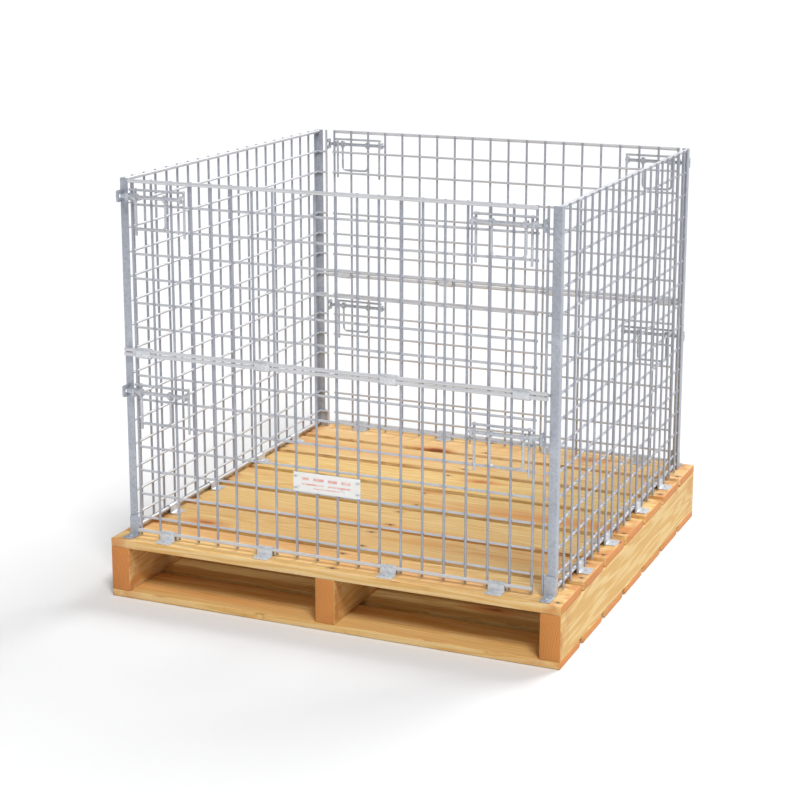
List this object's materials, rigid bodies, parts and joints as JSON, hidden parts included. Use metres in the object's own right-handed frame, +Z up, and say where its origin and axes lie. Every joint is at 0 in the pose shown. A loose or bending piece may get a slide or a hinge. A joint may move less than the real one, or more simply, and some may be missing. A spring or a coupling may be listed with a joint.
{
  "type": "wire mesh container",
  "caption": "Open-topped cage of welded zinc mesh on a timber pallet, with half-drop gates front and back held by slide bolts with hanging handles, for storing and lifting loose goods.",
  "frame": {"origin": "middle of the pallet's underside, on the floor", "axes": "+X to the right along the front wall, +Y from the front wall to the back wall, +Z up; the front is the wall with the label"},
  "size_m": [1.165, 1.165, 1.0395],
  "materials": {
    "timber": "sawn softwood, warm yellow",
    "nail_steel": "dull nail heads",
    "zinc_wire": "galvanised mesh wire",
    "zinc_sheet": "bright zinc plated strip",
    "zinc_rod": "galvanised rod",
    "label_white": "white label plate"
  },
  "bodies": {
    "base": {"top_board_1": "timber", "top_board_2": "timber", "top_board_3": "timber", "top_board_4": "timber", "top_board_5": "timber", "top_board_6": "timber", "top_board_7": "timber", "bottom_board_1": "timber", "bottom_board_2": "timber", "bottom_board_3": "timber", "bottom_board_4": "timber", "bottom_board_5": "timber", "bottom_board_6": "timber", "bottom_board_7": "timber", "bearer_left": "timber", "bearer_middle": "timber", "bearer_right": "timber", "pallet_nails": "nail_steel", "side_panel_left": "zinc_wire", "side_panel_right": "zinc_wire", "front_left_post": "zinc_sheet", "front_right_post": "zinc_sheet", "front_base_clips": "zinc_sheet", "front_keepers": "zinc_sheet", "back_left_post": "zinc_sheet", "back_right_post": "zinc_sheet", "back_base_clips": "zinc_sheet", "back_keepers": "zinc_sheet", "corner_feet": "zinc_sheet", "side_clips": "zinc_sheet", "clip_screws": "zinc_rod"},
    "front_lower": {"front_lower_gate": "zinc_wire", "front_mid_clips": "zinc_sheet", "front_lower_latch_frames": "zinc_rod", "label_plate": "label_white", "label_ties": "zinc_rod"},
    "front_upper": {"front_upper_gate": "zinc_wire", "front_upper_latch_frames": "zinc_rod"},
    "front_lower_left_bolt": {"front_lower_left_bolt": "zinc_rod"},
    "front_lower_left_handle": {"front_lower_left_handle": "zinc_rod"},
    "front_lower_right_bolt": {"front_lower_right_bolt": "zinc_rod"},
    "front_lower_right_handle": {"front_lower_right_handle": "zinc_rod"},
    "front_upper_left_bolt": {"front_upper_left_bolt": "zinc_rod"},
    "front_upper_left_handle": {"front_upper_left_handle": "zinc_rod"},
    "front_upper_right_bolt": {"front_upper_right_bolt": "zinc_rod"},
    "front_upper_right_handle": {"front_upper_right_handle": "zinc_rod"},
    "back_lower": {"back_lower_gate": "zinc_wire", "back_mid_clips": "zinc_sheet", "back_lower_latch_frames": "zinc_rod"},
    "back_upper": {"back_upper_gate": "zinc_wire", "back_upper_latch_frames": "zinc_rod"},
    "back_lower_left_bolt": {"back_lower_left_bolt": "zinc_rod"},
    "back_lower_left_handle": {"back_lower_left_handle": "zinc_rod"},
    "back_lower_right_bolt": {"back_lower_right_bolt": "zinc_rod"},
    "back_lower_right_handle": {"back_lower_right_handle": "zinc_rod"},
    "back_upper_left_bolt": {"back_upper_left_bolt": "zinc_rod"},
    "back_upper_left_handle": {"back_upper_left_handle": "zinc_rod"},
    "back_upper_right_bolt": {"back_upper_right_bolt": "zinc_rod"},
    "back_upper_right_handle": {"back_upper_right_handle": "zinc_rod"}
  },
  "joints": [
    {"name": "front_lower_gate_drop", "type": "hinge", "parent": "base", "child": "front_lower", "pos_m": [-0.012, -0.5445, 0.166], "axis": [1, 0, 0], "range_deg": [0, 90]},
    {"name": "front_upper_gate_fold", "type": "hinge", "parent": "front_lower", "child": "front_upper", "pos_m": [-0.012, -0.5445, 0.6225], "axis": [1, 0, 0], "range_deg": [0, 168]},
    {"name": "front_lower_left_bolt_slide", "type": "slide", "parent": "front_lower", "child": "front_lower_left_bolt", "axis": [-1, 0, 0], "range_m": [-0.014, 0.013]},
    {"name": "front_lower_left_handle_lift", "type": "hinge", "parent": "front_lower_left_bolt", "child": "front_lower_left_handle", "pos_m": [-0.4612, -0.5515, 0.52], "axis": [1, 0, 0], "range_deg": [-160, 0]},
    {"name": "front_lower_right_bolt_slide", "type": "slide", "parent": "front_lower", "child": "front_lower_right_bolt", "axis": [1, 0, 0], "range_m": [-0.014, 0.013]},
    {"name": "front_lower_right_handle_lift", "type": "hinge", "parent": "front_lower_right_bolt", "child": "front_lower_right_handle", "pos_m": [0.4372, -0.5515, 0.52], "axis": [1, 0, 0], "range_deg": [-160, 0]},
    {"name": "front_upper_left_bolt_slide", "type": "slide", "parent": "front_upper", "child": "front_upper_left_bolt", "axis": [-1, 0, 0], "range_m": [-0.014, 0.013]},
    {"name": "front_upper_left_handle_lift", "type": "hinge", "parent": "front_upper_left_bolt", "child": "front_upper_left_handle", "pos_m": [-0.4612, -0.5515, 0.998], "axis": [1, 0, 0], "range_deg": [-160, 0]},
    {"name": "front_upper_right_bolt_slide", "type": "slide", "parent": "front_upper", "child": "front_upper_right_bolt", "axis": [1, 0, 0], "range_m": [-0.014, 0.013]},
    {"name": "front_upper_right_handle_lift", "type": "hinge", "parent": "front_upper_right_bolt", "child": "front_upper_right_handle", "pos_m": [0.4372, -0.5515, 0.998], "axis": [1, 0, 0], "range_deg": [-160, 0]},
    {"name": "back_lower_gate_drop", "type": "hinge", "parent": "base", "child": "back_lower", "pos_m": [0.012, 0.5445, 0.166], "axis": [-1, 0, 0], "range_deg": [0, 90]},
    {"name": "back_upper_gate_fold", "type": "hinge", "parent": "back_lower", "child": "back_upper", "pos_m": [0.012, 0.5445, 0.6225], "axis": [-1, 0, 0], "range_deg": [0, 168]},
    {"name": "back_lower_left_bolt_slide", "type": "slide", "parent": "back_lower", "child": "back_lower_left_bolt", "axis": [1, 0, 0], "range_m": [-0.014, 0.013]},
    {"name": "back_lower_left_handle_lift", "type": "hinge", "parent": "back_lower_left_bolt", "child": "back_lower_left_handle", "pos_m": [0.4612, 0.5515, 0.52], "axis": [-1, 0, 0], "range_deg": [-160, 0]},
    {"name": "back_lower_right_bolt_slide", "type": "slide", "parent": "back_lower", "child": "back_lower_right_bolt", "axis": [-1, 0, 0], "range_m": [-0.014, 0.013]},
    {"name": "back_lower_right_handle_lift", "type": "hinge", "parent": "back_lower_right_bolt", "child": "back_lower_right_handle", "pos_m": [-0.4372, 0.5515, 0.52], "axis": [-1, 0, 0], "range_deg": [-160, 0]},
    {"name": "back_upper_left_bolt_slide", "type": "slide", "parent": "back_upper", "child": "back_upper_left_bolt", "axis": [1, 0, 0], "range_m": [-0.014, 0.013]},
    {"name": "back_upper_left_handle_lift", "type": "hinge", "parent": "back_upper_left_bolt", "child": "back_upper_left_handle", "pos_m": [0.4612, 0.5515, 0.998], "axis": [-1, 0, 0], "range_deg": [-160, 0]},
    {"name": "back_upper_right_bolt_slide", "type": "slide", "parent": "back_upper", "child": "back_upper_right_bolt", "axis": [-1, 0, 0], "range_m": [-0.014, 0.013]},
    {"name": "back_upper_right_handle_lift", "type": "hinge", "parent": "back_upper_right_bolt", "child": "back_upper_right_handle", "pos_m": [-0.4372, 0.5515, 0.998], "axis": [-1, 0, 0], "range_deg": [-160, 0]}
  ]
}
